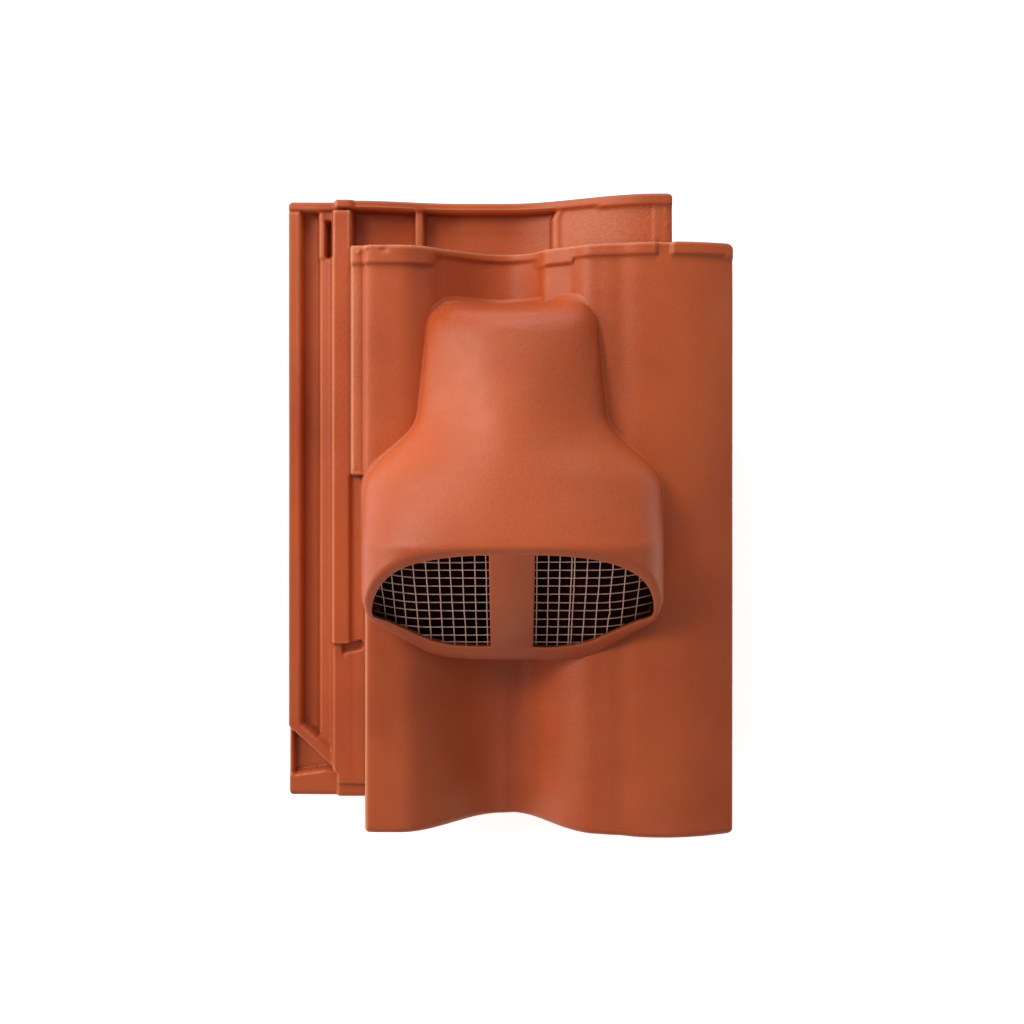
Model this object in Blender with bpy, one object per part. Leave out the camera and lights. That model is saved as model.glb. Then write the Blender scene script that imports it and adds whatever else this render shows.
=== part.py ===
"""Fired clay roof ventilation tile, lying on its underside.

An interlocking tile with one wave: side lock on the left, head lock at the top, and
a moulded hood over the pan whose two mouths are closed by a welded wire mesh.
Metres, +X across the tile, +Y up the slope to its head, +Z out of its face.
Heights in the dimensions are above the bottom of the pan unless they say otherwise.
"""

import math

import bmesh
import bpy
import numpy as np
from mathutils import Vector

MM = 0.001
GAP = 0.3 * MM

# Tile
TILE_WIDTH = 300 * MM
TILE_LENGTH = 425 * MM
WALL = 13 * MM
EDGE_ROUNDING = 5 * MM
DRAFT = 1.5 * MM

# Wave of the cover
PAN_PLACE = 150 * MM
CREST_HEIGHT = 40 * MM
CREST_FLANK = 70 * MM
ROLL_START_HEIGHT = 43 * MM
ROLL_FLANK = 62 * MM
CROWN_HEIGHT = 50 * MM
CROWN_INSET = 46 * MM
RIGHT_EDGE_HEIGHT = 41 * MM

# Side lock, its places measured from the left edge
RIB_WIDTH = 7.5 * MM
RIB_HEIGHT = 6 * MM
GROOVE_WIDTH = 10 * MM
GROOVE_DEPTH = 4 * MM
BEAD_WIDTH = 7 * MM
BEAD_HEIGHT = 1.5 * MM
STEP_X = 33 * MM
STEP_WIDTH = 11 * MM
STEP_HEIGHT = 15 * MM
LEDGE_HEIGHT = 9 * MM
COVER_X = 57 * MM
LEDGE_END_Y = 237 * MM
STEP_END_Y = 121 * MM
FLANGE_SETBACK = 13 * MM

# Tail corner of the side lock, its places measured from the tail
SILL_Y = 24.5 * MM
SILL_WIDTH = 5.5 * MM
SILL_HEIGHT = 2.5 * MM
SILL_APRON_HEIGHT = 1 * MM
SPLAY_LOW_Y = 31 * MM
SPLAY_HIGH_Y = 62 * MM
SPLAY_WIDTH = 15 * MM

# Head lock
HEAD_LOCK_LENGTH = 35 * MM
HEAD_LOCK_WALL = 10 * MM
HEAD_LOCK_INSET = 38.5 * MM
RIM_WIDTH = 6.5 * MM
RIM_PAN_HEIGHT = 2 * MM
RIM_LEFT_HEIGHT = 12.5 * MM
RIM_RIGHT_HEIGHT = 34.5 * MM
RIM_PAN_HALF = 30 * MM
PAN_UPSTAND = 12 * MM
ROLL_UPSTAND = 5 * MM
BAR_X = 88 * MM
BAR_WIDTH = 6 * MM
BAR_DROP = 2 * MM
RIB_STEP_X = 183 * MM
RIB_STEP_WIDTH = 6.5 * MM
LIP_HEIGHT = 2.5 * MM
CREST_LIP_WIDTH = 13 * MM
PAN_LIP_WIDTH = 6 * MM
NUB_WIDTH = 11 * MM
ROLL_LIP_WIDTH = 9 * MM
BROAD_CREST = 10 * MM

# Low rib on the flank of the roll, between the head of the cover and the hood
FLUTE_X = 178 * MM
FLUTE_WIDTH = 20 * MM
FLUTE_HEIGHT = 2.5 * MM
FLUTE_END_Y = 330 * MM

# Hood, its lengths measured from its chin and its widths across its own axis
HOOD_OFFSET = 4.5 * MM
HOOD_SETBACK = 35 * MM
HOOD_LENGTH = 240 * MM
HOOD_WIDTH = 194 * MM
HOOD_HEIGHT = 106.5 * MM
HOOD_WALL = 6 * MM
HOOD_ROOT = 6.5 * MM
MOUTH_ANGLE = math.radians(40)
CHIN_HEIGHT = 39 * MM
CHIN_WALL = 11 * MM
CHIN_FLAT = 60 * MM
CHIN_WIDTH = 102 * MM
CHIN_ROUNDING = 2 * MM
CHEEK_LENGTH = 32 * MM
CHEEK_INSET = 2.5 * MM
CHEEK_ROUNDING = 12 * MM
SHOULDER_LENGTH = 115 * MM
NECK_LENGTH = 163 * MM
NECK_WIDTH = 123 * MM
HOOD_HEAD_WIDTH = 111 * MM
HOOD_HEAD_HEIGHT = 58 * MM
HOOD_HEAD_SLOPE = 13 * MM
MOUTH_FULLNESS = 3.4
SHOULDER_FULLNESS = 2.3
WAIST_FULLNESS = 1.9
HEAD_FULLNESS = 2.4
HEAD_PROFILE = [(0, 0.95, 0.97), (0.3, 0.76, 0.93), (1, 0, 0.75)]
PIER_WIDTH = 28 * MM
PIER_THICKNESS = 3 * MM

# Air duct under the hood, past the mouths so that the pan is closed where rain can fall in
DUCT_LEDGE = 14 * MM
DUCT_START = 84 * MM
DUCT_END = 212 * MM

# Underside
FOOT_DEPTH = 14 * MM
FOOT_WIDTH = 26 * MM
FOOT_SPACING = 54 * MM
FOOT_TAPER = 3 * MM
NIB_LENGTH = 15 * MM
NIB_SETBACK = 33 * MM
LUG_LENGTH = 12 * MM
LUG_Y = 18 * MM
LOCK_RIB_WIDTH = 7 * MM
LOCK_RIB_DEPTH = 8 * MM
LOCK_RIB_PITCH = 20 * MM

# Wire mesh
MESH_PITCH = 7.7 * MM
WIRE = 1.1 * MM

LEFT = -TILE_WIDTH / 2
RIGHT = TILE_WIDTH / 2
TAIL = -TILE_LENGTH / 2
HEAD = TILE_LENGTH / 2
PAN_X = LEFT + PAN_PLACE
PAN_Z = WALL + FOOT_DEPTH
COVER_LEFT = LEFT + COVER_X
COVER_HEAD = HEAD - HEAD_LOCK_LENGTH
CHIN_Y = COVER_HEAD - HOOD_SETBACK - HOOD_LENGTH
HOOD_X = PAN_X + HOOD_OFFSET
CHEEK_WIDTH = HOOD_WIDTH - 2 * CHEEK_INSET
CROWN_X = RIGHT - CROWN_INSET
HEAD_LOCK_RIGHT = RIGHT - HEAD_LOCK_INSET
ARCH_STEPS = 20
SMOOTH_LIMIT = math.radians(0.4)


def clear_scene():
    for obj in list(bpy.data.objects):
        bpy.data.objects.remove(obj, do_unlink=True)


def ease(share):
    """Half a cosine wave, from 0 to 1."""
    return (1 - math.cos(math.pi * min(1.0, max(0.0, share)))) / 2


def along(points, place):
    """Height of a profile of (place, height) points."""
    return float(np.interp(place, [p[0] for p in points], [p[1] for p in points]))


def cover_height(x):
    """Top of the cover: crest on the left, pan, then the wide roll on the right."""
    if x < PAN_X:
        return CREST_HEIGHT * ease((PAN_X - x) / CREST_FLANK)
    roll_start = PAN_X + ROLL_FLANK
    if x < roll_start:
        return ROLL_START_HEIGHT * ease((x - PAN_X) / ROLL_FLANK)
    if x < CROWN_X:
        share = (CROWN_X - x) / (CROWN_X - roll_start)
        return CROWN_HEIGHT - (CROWN_HEIGHT - ROLL_START_HEIGHT) * share**2
    share = (x - CROWN_X) / (RIGHT - CROWN_X)
    return CROWN_HEIGHT - (CROWN_HEIGHT - RIGHT_EDGE_HEIGHT) * share**2


def lock_profile(step_height, ledge_height, broad=0.0):
    """Rib, groove, bead, step and ledge, from the left edge to the crest."""
    groove_end = RIB_WIDTH + DRAFT + GROOVE_WIDTH
    bead_end = groove_end + DRAFT + BEAD_WIDTH
    step_end = STEP_X + STEP_WIDTH
    return [
        (0, RIB_HEIGHT),
        (RIB_WIDTH, RIB_HEIGHT),
        (RIB_WIDTH + DRAFT, -GROOVE_DEPTH),
        (groove_end, -GROOVE_DEPTH),
        (groove_end + DRAFT, BEAD_HEIGHT),
        (bead_end, BEAD_HEIGHT + DRAFT),
        (STEP_X, step_height),
        (step_end, step_height),
        (step_end + DRAFT, ledge_height),
        (COVER_X - DRAFT - broad, ledge_height + DRAFT),
        (COVER_X - broad, CREST_HEIGHT - DRAFT - broad / 4),
        (COVER_X + 2 * DRAFT, CREST_HEIGHT),
    ]


def lock_height(x, y):
    """Top of the side lock. It has a slope beside the head, a ledge beside the hood."""
    place, from_tail = x - LEFT, y - TAIL
    splay_y = SPLAY_HIGH_Y + (SPLAY_LOW_Y - SPLAY_HIGH_Y) * place / STEP_X + SPLAY_WIDTH / 2
    if place < STEP_X and from_tail < splay_y:
        if from_tail < SILL_Y:
            return SILL_APRON_HEIGHT
        return SILL_HEIGHT if from_tail <= SILL_Y + SILL_WIDTH else -GROOVE_DEPTH
    if from_tail < STEP_END_Y:
        return along(lock_profile(LEDGE_HEIGHT, LEDGE_HEIGHT), place)
    if from_tail < LEDGE_END_Y:
        return along(lock_profile(STEP_HEIGHT, LEDGE_HEIGHT), place)
    return along(lock_profile(STEP_HEIGHT, STEP_HEIGHT, BROAD_CREST), place)


def rim_height(x):
    """Top of the head rim: high beside the side lock, low over the pan, high on the roll."""
    place = x - LEFT
    if place < STEP_X + STEP_WIDTH:
        return along([(STEP_X - DRAFT, RIB_HEIGHT), (STEP_X, STEP_HEIGHT)], place)
    if x < PAN_X:
        start = LEFT + STEP_X + STEP_WIDTH
        share = (PAN_X - RIM_PAN_HALF - x) / (PAN_X - RIM_PAN_HALF - start)
        return RIM_PAN_HEIGHT + (RIM_LEFT_HEIGHT - RIM_PAN_HEIGHT) * ease(share)
    share = (x - PAN_X) / (CROWN_X - PAN_X)
    return RIM_PAN_HEIGHT + (RIM_RIGHT_HEIGHT - RIM_PAN_HEIGHT) * ease(share)


def recess_height(x):
    """Floor of the head lock behind the rim."""
    share = ease((x - PAN_X - RIM_PAN_HALF) / (CROWN_X - PAN_X - RIM_PAN_HALF))
    return rim_height(x) - PAN_UPSTAND - (ROLL_UPSTAND - PAN_UPSTAND) * share


def head_lock_height(x, y):
    """Top of the head lock: recess, the two bars across it and the rim."""
    place = x - LEFT
    if y >= HEAD - RIM_WIDTH:
        return rim_height(x)
    if place < STEP_X + STEP_WIDTH:
        return lock_height(x, y)
    bars = [(BAR_X, BAR_WIDTH), (RIB_STEP_X, RIB_STEP_WIDTH)]
    if any(start <= place <= start + width for start, width in bars):
        return rim_height(x) - BAR_DROP
    if x > HEAD_LOCK_RIGHT - 2 * RIM_WIDTH:
        return rim_height(x) - BAR_DROP
    return recess_height(x)


def flute_height(x, y):
    """Low rib that starts sharply on its left and dies out to the right."""
    share = (x - LEFT - FLUTE_X) / FLUTE_WIDTH
    if y < TAIL + FLUTE_END_Y or not 0 <= share <= 1:
        return 0.0
    return FLUTE_HEIGHT * (1 - share)


def lip_width(x):
    """Raised lip along the head edge of the cover, wide on the crest, the rib and the roll."""
    if x < PAN_X - CREST_FLANK * 2 / 3:
        return CREST_LIP_WIDTH
    if 0 <= x - LEFT - FLUTE_X <= FLUTE_WIDTH * 3 / 4:
        return NUB_WIDTH
    if x < PAN_X + ROLL_FLANK:
        return PAN_LIP_WIDTH
    return ROLL_LIP_WIDTH


def top_height(x, y):
    """Top of the whole tile, without its hood."""
    if y > COVER_HEAD:
        return head_lock_height(x, y)
    lip = LIP_HEIGHT if y > COVER_HEAD - lip_width(x) else 0
    if x < COVER_LEFT:
        on_crest = x - LEFT > COVER_X - BROAD_CREST - DRAFT / 2
        height = lock_height(x, y) + (lip if on_crest else 0)
        end = TAIL + FLANGE_SETBACK
    else:
        height = cover_height(x) + flute_height(x, y) + lip
        end = TAIL
    to_end = max(0.0, EDGE_ROUNDING - (y - end))
    return height - EDGE_ROUNDING + math.sqrt(EDGE_ROUNDING**2 - min(to_end, EDGE_ROUNDING) ** 2)


def underside_height(x, y):
    """Plain underside, a wall below the face, with the lock ribs under the right edge."""
    if y > COVER_HEAD - WALL:
        lowest = recess_height(max(x, LEFT + STEP_X + STEP_WIDTH))
        return lowest - HEAD_LOCK_WALL
    place = x - LEFT
    if place < COVER_X + WALL:
        hollow = [
            (STEP_X - WALL / 2, -WALL),
            (STEP_X + WALL / 2, LEDGE_HEIGHT - WALL),
            (COVER_X, LEDGE_HEIGHT - WALL),
            (COVER_X + WALL, CREST_HEIGHT - WALL),
        ]
        return along(hollow, place)
    slope = (cover_height(x + MM) - cover_height(x - MM)) / (2 * MM)
    height = cover_height(x) - WALL * math.sqrt(1 + slope**2)
    from_right = (RIGHT - x) % LOCK_RIB_PITCH
    if RIGHT - x < 2 * LOCK_RIB_PITCH and from_right < LOCK_RIB_WIDTH:
        height -= LOCK_RIB_DEPTH
    return height


def grid_columns():
    """Places across the tile where its section bends."""
    lock = [LEFT + p[0] for p in lock_profile(STEP_HEIGHT, LEDGE_HEIGHT)]
    lock += [LEFT + COVER_X - BROAD_CREST - side for side in (0, DRAFT)]
    crest = np.linspace(PAN_X - CREST_FLANK, PAN_X, 10)
    flank = np.linspace(PAN_X, PAN_X + ROLL_FLANK, 10)[1:]
    roll = np.linspace(PAN_X + ROLL_FLANK, CROWN_X, 5)[1:]
    edge = np.linspace(CROWN_X, RIGHT, 5)[1:]
    hollow = [LEFT + STEP_X - WALL / 2, LEFT + STEP_X + WALL / 2, LEFT + COVER_X + WALL]
    across = (-DRAFT, MM / 10, FLUTE_WIDTH * 3 / 4, FLUTE_WIDTH)
    flute = [LEFT + FLUTE_X + side for side in across]
    bars = [
        LEFT + start + side
        for start, width in [(BAR_X, BAR_WIDTH), (RIB_STEP_X, RIB_STEP_WIDTH)]
        for side in (-DRAFT, 0, width, width + DRAFT)
    ]
    ribs = [
        RIGHT - pitch - side
        for pitch in (0, LOCK_RIB_PITCH)
        for side in (LOCK_RIB_WIDTH, LOCK_RIB_WIDTH + DRAFT)
    ]
    ribs += [RIGHT - LOCK_RIB_PITCH, RIGHT - LOCK_RIB_PITCH + DRAFT]
    ends = [HEAD_LOCK_RIGHT, HEAD_LOCK_RIGHT - 2 * RIM_WIDTH]
    return merged([*lock, *crest, *flank, *roll, *edge, *hollow, *flute, *bars, *ribs, *ends])


def grid_rows():
    """Places along the tile where its face steps or rounds."""
    rounding = [EDGE_ROUNDING * (1 - math.cos(a)) for a in (0, 0.6, 1.1, math.pi / 2)]
    rows = [TAIL + r for r in rounding] + [TAIL + FLANGE_SETBACK + r for r in rounding]
    steps = (SILL_Y, SILL_Y + SILL_WIDTH + DRAFT, STEP_END_Y, LEDGE_END_Y, FLUTE_END_Y)
    for start in steps:
        rows += [TAIL + start - DRAFT, TAIL + start]
    splay = np.linspace(SPLAY_LOW_Y, SPLAY_HIGH_Y, 6) + SPLAY_WIDTH / 2
    rows += list(TAIL + splay)
    for width in (CREST_LIP_WIDTH, NUB_WIDTH, ROLL_LIP_WIDTH, PAN_LIP_WIDTH):
        rows += [COVER_HEAD - width - DRAFT, COVER_HEAD - width + MM / 10]
    rows += [COVER_HEAD - WALL, COVER_HEAD - WALL + DRAFT, COVER_HEAD, COVER_HEAD + DRAFT]
    rows += [HEAD - RIM_WIDTH - DRAFT, HEAD - RIM_WIDTH, HEAD]
    return merged(rows)


def merged(places):
    """Sorted places, leaving out any that lies within 0.4 mm of the one before."""
    kept = []
    for place in sorted(places):
        if not kept or place - kept[-1] > 0.4 * MM:
            kept.append(place)
    return kept


def in_outline(x, y):
    """The flange stops short of the tail, and the head lock short of the right edge."""
    if x < COVER_LEFT and y < TAIL + FLANGE_SETBACK:
        return False
    return x < HEAD_LOCK_RIGHT or y < COVER_HEAD


def new_object(name, mesh_data, helper=False):
    mesh = bpy.data.meshes.new(name)
    bmesh.ops.recalc_face_normals(mesh_data, faces=mesh_data.faces)
    mesh_data.to_mesh(mesh)
    mesh_data.free()
    mesh.shade_smooth()
    mesh.set_sharp_from_angle(angle=math.radians(30))
    obj = bpy.data.objects.new(name, mesh)
    bpy.context.scene.collection.objects.link(obj)
    if helper:
        obj.hide_render = True
        obj.display_type = "WIRE"
    return obj


def combine(obj, other, operation):
    """Adds a live Boolean with a helper body."""
    boolean = obj.modifiers.new(other.name, "BOOLEAN")
    boolean.operation = operation
    boolean.solver = "EXACT"
    boolean.object = other


def tile_body():
    """The tile as one closed body between its face and its underside."""
    columns, rows = grid_columns(), grid_rows()
    mesh_data = bmesh.new()
    top, bottom = {}, {}

    def vertex(store, height, i, j):
        if (i, j) not in store:
            x, y = columns[i], rows[j]
            store[i, j] = mesh_data.verts.new((x, y, PAN_Z + height(x, y)))
        return store[i, j]

    cells = {
        (i, j)
        for i in range(len(columns) - 1)
        for j in range(len(rows) - 1)
        if in_outline((columns[i] + columns[i + 1]) / 2, (rows[j] + rows[j + 1]) / 2)
    }
    sides = [((0, 0), (1, 0), (0, -1)), ((1, 0), (1, 1), (1, 0))]
    sides += [((1, 1), (0, 1), (0, 1)), ((0, 1), (0, 0), (-1, 0))]
    for i, j in sorted(cells):
        ring = [(i, j), (i + 1, j), (i + 1, j + 1), (i, j + 1)]
        mesh_data.faces.new([vertex(top, top_height, *place) for place in ring])
        mesh_data.faces.new([vertex(bottom, underside_height, *place) for place in ring[::-1]])
        for start, end, beyond in sides:
            if (i + beyond[0], j + beyond[1]) in cells:
                continue
            a, b = (i + start[0], j + start[1]), (i + end[0], j + end[1])
            mesh_data.faces.new([top[b], top[a], bottom[a], bottom[b]])
    bmesh.ops.triangulate(mesh_data, faces=mesh_data.faces)
    before_nibs = COVER_HEAD - WALL + DRAFT
    plain = [e for e in mesh_data.edges if min(v.co.y for v in e.verts) < before_nibs]
    verts = [v for v in mesh_data.verts if v.co.y < before_nibs]
    bmesh.ops.dissolve_limit(mesh_data, angle_limit=SMOOTH_LIMIT, verts=verts, edges=plain)
    bmesh.ops.triangulate(mesh_data, faces=mesh_data.faces)
    return new_object("vent_tile", mesh_data)


def prism(name, outline, direction):
    """Closed prism: an outline of points, carried along a direction."""
    mesh_data = bmesh.new()
    near = [mesh_data.verts.new(p) for p in outline]
    far = [mesh_data.verts.new(Vector(p) + Vector(direction)) for p in outline]
    mesh_data.faces.new(near)
    mesh_data.faces.new(far[::-1])
    for k in range(len(outline)):
        n = (k + 1) % len(outline)
        mesh_data.faces.new([near[k], far[k], far[n], near[n]])
    return new_object(name, mesh_data, helper=True)


def foot(name, x, y, length):
    """Foot from inside the tile's wall down to the level it lies on, upright on its tail side."""
    mesh_data = bmesh.new()
    top = min(underside_height(x + side * FOOT_WIDTH / 2, y) for side in (-1, 1)) + PAN_Z
    rings = []
    for z, taper in ((0, FOOT_TAPER), (top + WALL / 2, 0)):
        half = (FOOT_WIDTH - taper) / 2
        corners = [(-half, 0), (half, 0), (half, length - taper), (-half, length - taper)]
        rings.append([mesh_data.verts.new((x + a, y + b, z)) for a, b in corners])
    mesh_data.faces.new(rings[0][::-1])
    mesh_data.faces.new(rings[1])
    for k in range(4):
        n = (k + 1) % 4
        mesh_data.faces.new([rings[0][k], rings[0][n], rings[1][n], rings[1][k]])
    return new_object(name, mesh_data, helper=True)


def splay_rib():
    """Slanting rib that closes the groove of the side lock above its tail corner."""
    level = PAN_Z - GROOVE_DEPTH - DRAFT
    low = TAIL + SPLAY_LOW_Y
    high = TAIL + SPLAY_HIGH_Y
    end = LEFT + STEP_X + 2 * DRAFT
    corners = [(LEFT, high), (end, low), (end, low + SPLAY_WIDTH)]
    corners += [(LEFT + RIB_WIDTH, high + RIB_WIDTH), (LEFT, high + RIB_WIDTH)]
    outline = [(x, y, level) for x, y in corners]
    return prism("splay_rib", outline, (0, 0, RIB_HEIGHT + GROOVE_DEPTH + DRAFT))


def hood_stations():
    """Sections of the hood, from its chin to its head: place, half width, top, fullness."""
    front = (HOOD_HEIGHT - CHIN_HEIGHT) / math.tan(MOUTH_ANGLE)
    head = HOOD_LENGTH - HOOD_HEAD_SLOPE
    fall = (HOOD_HEIGHT - HOOD_HEAD_HEIGHT) / (head - front)
    middle = (SHOULDER_LENGTH + NECK_LENGTH) / 2
    fullness = [(front, MOUTH_FULLNESS), (SHOULDER_LENGTH, SHOULDER_FULLNESS)]
    fullness += [(middle, WAIST_FULLNESS), (head, HEAD_FULLNESS)]
    corner = CHEEK_LENGTH + CHEEK_ROUNDING
    plan = [(0, CHIN_FLAT), (CHIN_ROUNDING, CHIN_WIDTH), (CHEEK_LENGTH, CHEEK_WIDTH)]
    plan += [(corner, HOOD_WIDTH), (front, HOOD_WIDTH), (SHOULDER_LENGTH, HOOD_WIDTH)]
    for share in (0.2, 0.4, 0.6, 0.8, 1):
        place = SHOULDER_LENGTH + (NECK_LENGTH - SHOULDER_LENGTH) * share
        plan.append((place, HOOD_WIDTH + (NECK_WIDTH - HOOD_WIDTH) * ease(share)))
    for share in (0.35, 0.7, 0.93):
        place = NECK_LENGTH + (head - NECK_LENGTH) * share
        plan.append((place, NECK_WIDTH + (HOOD_HEAD_WIDTH - NECK_WIDTH) * share))
    stations = []
    for place, width in plan:
        top = HOOD_HEIGHT - fall * max(0.0, place - front)
        stations.append((place, width / 2, top, along(fullness, place)))
    for share, height, width in HEAD_PROFILE:
        place = head + HOOD_HEAD_SLOPE * share
        half = HOOD_HEAD_WIDTH / 2 * width
        stations.append((place, half, HOOD_HEAD_HEIGHT * height, HEAD_FULLNESS))
    return stations


def hollow_stations():
    """Sections of the hollow, from the inside of the chin to the inside of the head."""
    corner = CHEEK_LENGTH + CHEEK_ROUNDING
    last = HOOD_LENGTH - HOOD_HEAD_SLOPE - HOOD_WALL
    plan = [(CHIN_WALL, CHIN_WIDTH - CHIN_WALL)]
    plan += [(CHIN_WALL + CHIN_ROUNDING, CHIN_WIDTH + CHIN_ROUNDING)]
    plan += [(CHEEK_LENGTH + CHIN_ROUNDING, CHEEK_WIDTH), (corner, HOOD_WIDTH)]
    front = [(place, width / 2, HOOD_HEIGHT, MOUTH_FULLNESS) for place, width in plan]
    return front + [s for s in hood_stations() if corner < s[0] < last]


def hood_loft(name, stations, inset, root):
    """Arched sections, all inset by one distance and rooted a depth below the cover's face."""
    mesh_data = bmesh.new()
    rings = []
    for place, half, top, fullness in stations:
        roof, floor = [], []
        for k in range(ARCH_STEPS + 1):
            across = -math.cos(math.pi * k / ARCH_STEPS)
            x = HOOD_X + (half - inset) * across
            base = cover_height(x) - root
            arch = (1 - abs(across) ** fullness) ** (1 / fullness)
            height = base + max(top - inset - base, root / 4) * arch
            roof.append(mesh_data.verts.new((x, CHIN_Y + place, PAN_Z + height)))
            if 0 < k < ARCH_STEPS:
                floor.append(mesh_data.verts.new((x, CHIN_Y + place, PAN_Z + base)))
        rings.append(roof + floor[::-1])
    for near, far in zip(rings, rings[1:]):
        for k in range(len(near)):
            n = (k + 1) % len(near)
            mesh_data.faces.new([near[k], near[n], far[n], far[k]])
    mesh_data.faces.new(rings[0])
    mesh_data.faces.new(rings[-1][::-1])
    bmesh.ops.triangulate(mesh_data, faces=mesh_data.faces)
    return new_object(name, mesh_data, helper=True)


def mouth_point(along_mouth, out):
    """A point in the plane of the mouths, from the bottom of the chin up its slope."""
    direction = Vector((0, math.cos(MOUTH_ANGLE), math.sin(MOUTH_ANGLE)))
    normal = Vector((0, -math.sin(MOUTH_ANGLE), math.cos(MOUTH_ANGLE)))
    origin = Vector((0, CHIN_Y, PAN_Z + CHIN_HEIGHT))
    return origin + direction * along_mouth + normal * out


def slab(name, half_width, start, end, near, far):
    """Slab parallel to the plane of the mouths."""
    corners = [(start, near), (end, near), (end, far), (start, far)]
    outline = [mouth_point(*c) + Vector((HOOD_X - half_width, 0, 0)) for c in corners]
    return prism(name, outline, (2 * half_width, 0, 0))


def duct():
    """Air duct cutter: the plan of the hood past its mouths, less a ledge all round inside it."""
    inset = HOOD_WALL + DUCT_LEDGE
    plan = [(DUCT_START, HOOD_WIDTH / 2)]
    plan += [s[:2] for s in hood_stations() if DUCT_START < s[0] <= DUCT_END]
    outline = [(HOOD_X + half - inset, CHIN_Y + place, 0) for place, half in plan]
    outline += [(HOOD_X - half + inset, CHIN_Y + place, 0) for place, half in reversed(plan)]
    return prism("duct_cutter", outline, (0, 0, PAN_Z + CROWN_HEIGHT + MM))


def hood():
    """Outside of the hood, cut off by the plane of the mouths."""
    shell = hood_loft("hood_shell", hood_stations(), 0, HOOD_ROOT)
    reach = HOOD_HEIGHT * 2
    combine(shell, slab("mouth_cutter", HOOD_WIDTH, -reach, reach, 0, reach), "DIFFERENCE")
    return shell


def pier():
    """Flat pier between the mouths, from the chin to the roof of the hood."""
    top = (HOOD_HEIGHT - CHIN_HEIGHT) / math.sin(MOUTH_ANGLE) - HOOD_WALL / 2
    return slab("pier", PIER_WIDTH / 2, CHIN_WALL / 2, top, -PIER_THICKNESS, -GAP)


def vent_tile():
    body = tile_body()
    combine(body, splay_rib(), "UNION")
    for side, name in ((-1, "left"), (1, "right")):
        x = PAN_X + side * FOOT_SPACING / 2
        combine(body, foot(f"nib_{name}", x, HEAD - NIB_SETBACK, NIB_LENGTH), "UNION")
        combine(body, foot(f"lug_{name}", x, TAIL + LUG_Y, LUG_LENGTH), "UNION")
    combine(body, hood(), "UNION")
    combine(body, hood_loft("hood_hollow", hollow_stations(), HOOD_WALL, MM), "DIFFERENCE")
    combine(body, pier(), "UNION")
    combine(body, duct(), "DIFFERENCE")
    body.data.materials.append(material("fired_clay", (0.44, 0.125, 0.056), 0.55, 0.0))
    return body


def wire_mesh():
    """Welded mesh behind the mouths: a lattice trimmed to the inside of the hood."""
    mesh_data = bmesh.new()
    height = (HOOD_HEIGHT - CHIN_HEIGHT) / math.sin(MOUTH_ANGLE)
    across = math.ceil(HOOD_WIDTH / 2 / MESH_PITCH)
    sides = (-WIRE / 2, WIRE / 2)
    xs = [HOOD_X + k * MESH_PITCH + side for k in range(-across, across + 1) for side in sides]
    ys = [k * MESH_PITCH + side for k in range(math.ceil(height / MESH_PITCH) + 1) for side in sides]
    back = -PIER_THICKNESS - GAP - WIRE
    points = [
        [mesh_data.verts.new(mouth_point(y, back) + Vector((x, 0, 0))) for y in ys] for x in xs
    ]
    for i in range(len(xs) - 1):
        for j in range(len(ys) - 1):
            if i % 2 == 0 or j % 2 == 0:
                ring = [points[i][j], points[i + 1][j], points[i + 1][j + 1], points[i][j + 1]]
                mesh_data.faces.new(ring)
    grown = bmesh.ops.extrude_face_region(mesh_data, geom=mesh_data.faces[:])
    moved = [item for item in grown["geom"] if isinstance(item, bmesh.types.BMVert)]
    bmesh.ops.translate(mesh_data, vec=mouth_point(0, WIRE) - mouth_point(0, 0), verts=moved)
    lattice = new_object("wire_mesh", mesh_data)
    room = hood_loft("mesh_room", hollow_stations(), HOOD_WALL + GAP, MM)
    combine(lattice, room, "INTERSECT")
    combine(lattice, mesh_floor(), "DIFFERENCE")
    lattice.data.materials.append(material("steel_wire", (0.62, 0.5, 0.42), 0.4, 0.9))
    return lattice


def mesh_floor():
    """Cutter below the mesh that keeps it clear of the cover's face and of the chin."""
    left, right = HOOD_X - HOOD_WIDTH / 2, HOOD_X + HOOD_WIDTH / 2
    places = np.linspace(left, right, 60)
    outline = [(x, TAIL, PAN_Z + cover_height(x) + GAP) for x in places]
    outline += [(right, TAIL, 0), (left, TAIL, 0)]
    return prism("mesh_floor", outline, (0, TILE_LENGTH, 0))


def material(name, colour, roughness, metallic):
    new = bpy.data.materials.new(name)
    new.use_nodes = True
    shader = new.node_tree.nodes["Principled BSDF"]
    shader.inputs["Base Color"].default_value = (*colour, 1)
    shader.inputs["Roughness"].default_value = roughness
    shader.inputs["Metallic"].default_value = metallic
    return new


clear_scene()
vent_tile()
wire_mesh()
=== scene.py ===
import math

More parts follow.
